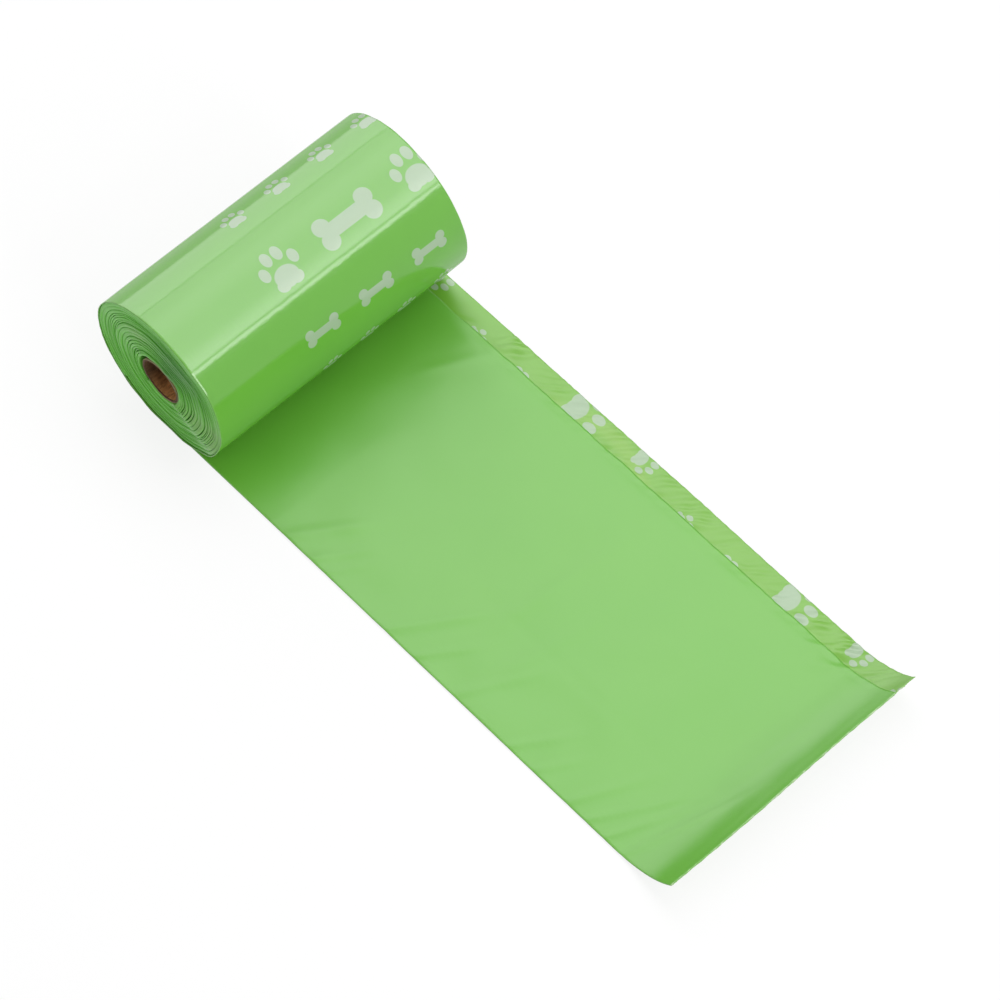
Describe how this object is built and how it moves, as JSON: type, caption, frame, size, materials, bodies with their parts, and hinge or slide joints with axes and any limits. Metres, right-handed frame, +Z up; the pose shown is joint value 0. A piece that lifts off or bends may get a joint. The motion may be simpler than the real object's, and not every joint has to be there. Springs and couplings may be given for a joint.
{
  "type": "roll of dog poop bags",
  "caption": "Roll of thin green film bags, wound as one folded web on a small paper core, with a loose length lying flat and its free end curling up.",
  "frame": {"origin": "on the table, straight below the middle of the roll's axis, on the flat spot that the roll rests on", "axes": "+X along the roll, towards the edge of the web where the folded layers stop short; the loose web lies towards -Y; +Z up"},
  "size_m": [0.0624, 0.1579, 0.0356],
  "materials": {
    "core_paper": "uncoated brown paper",
    "bag_film": "satin film with a soft gloss"
  },
  "bodies": {
    "root": {"core": "core_paper", "bag_web": "bag_film"}
  },
  "joints": []
}
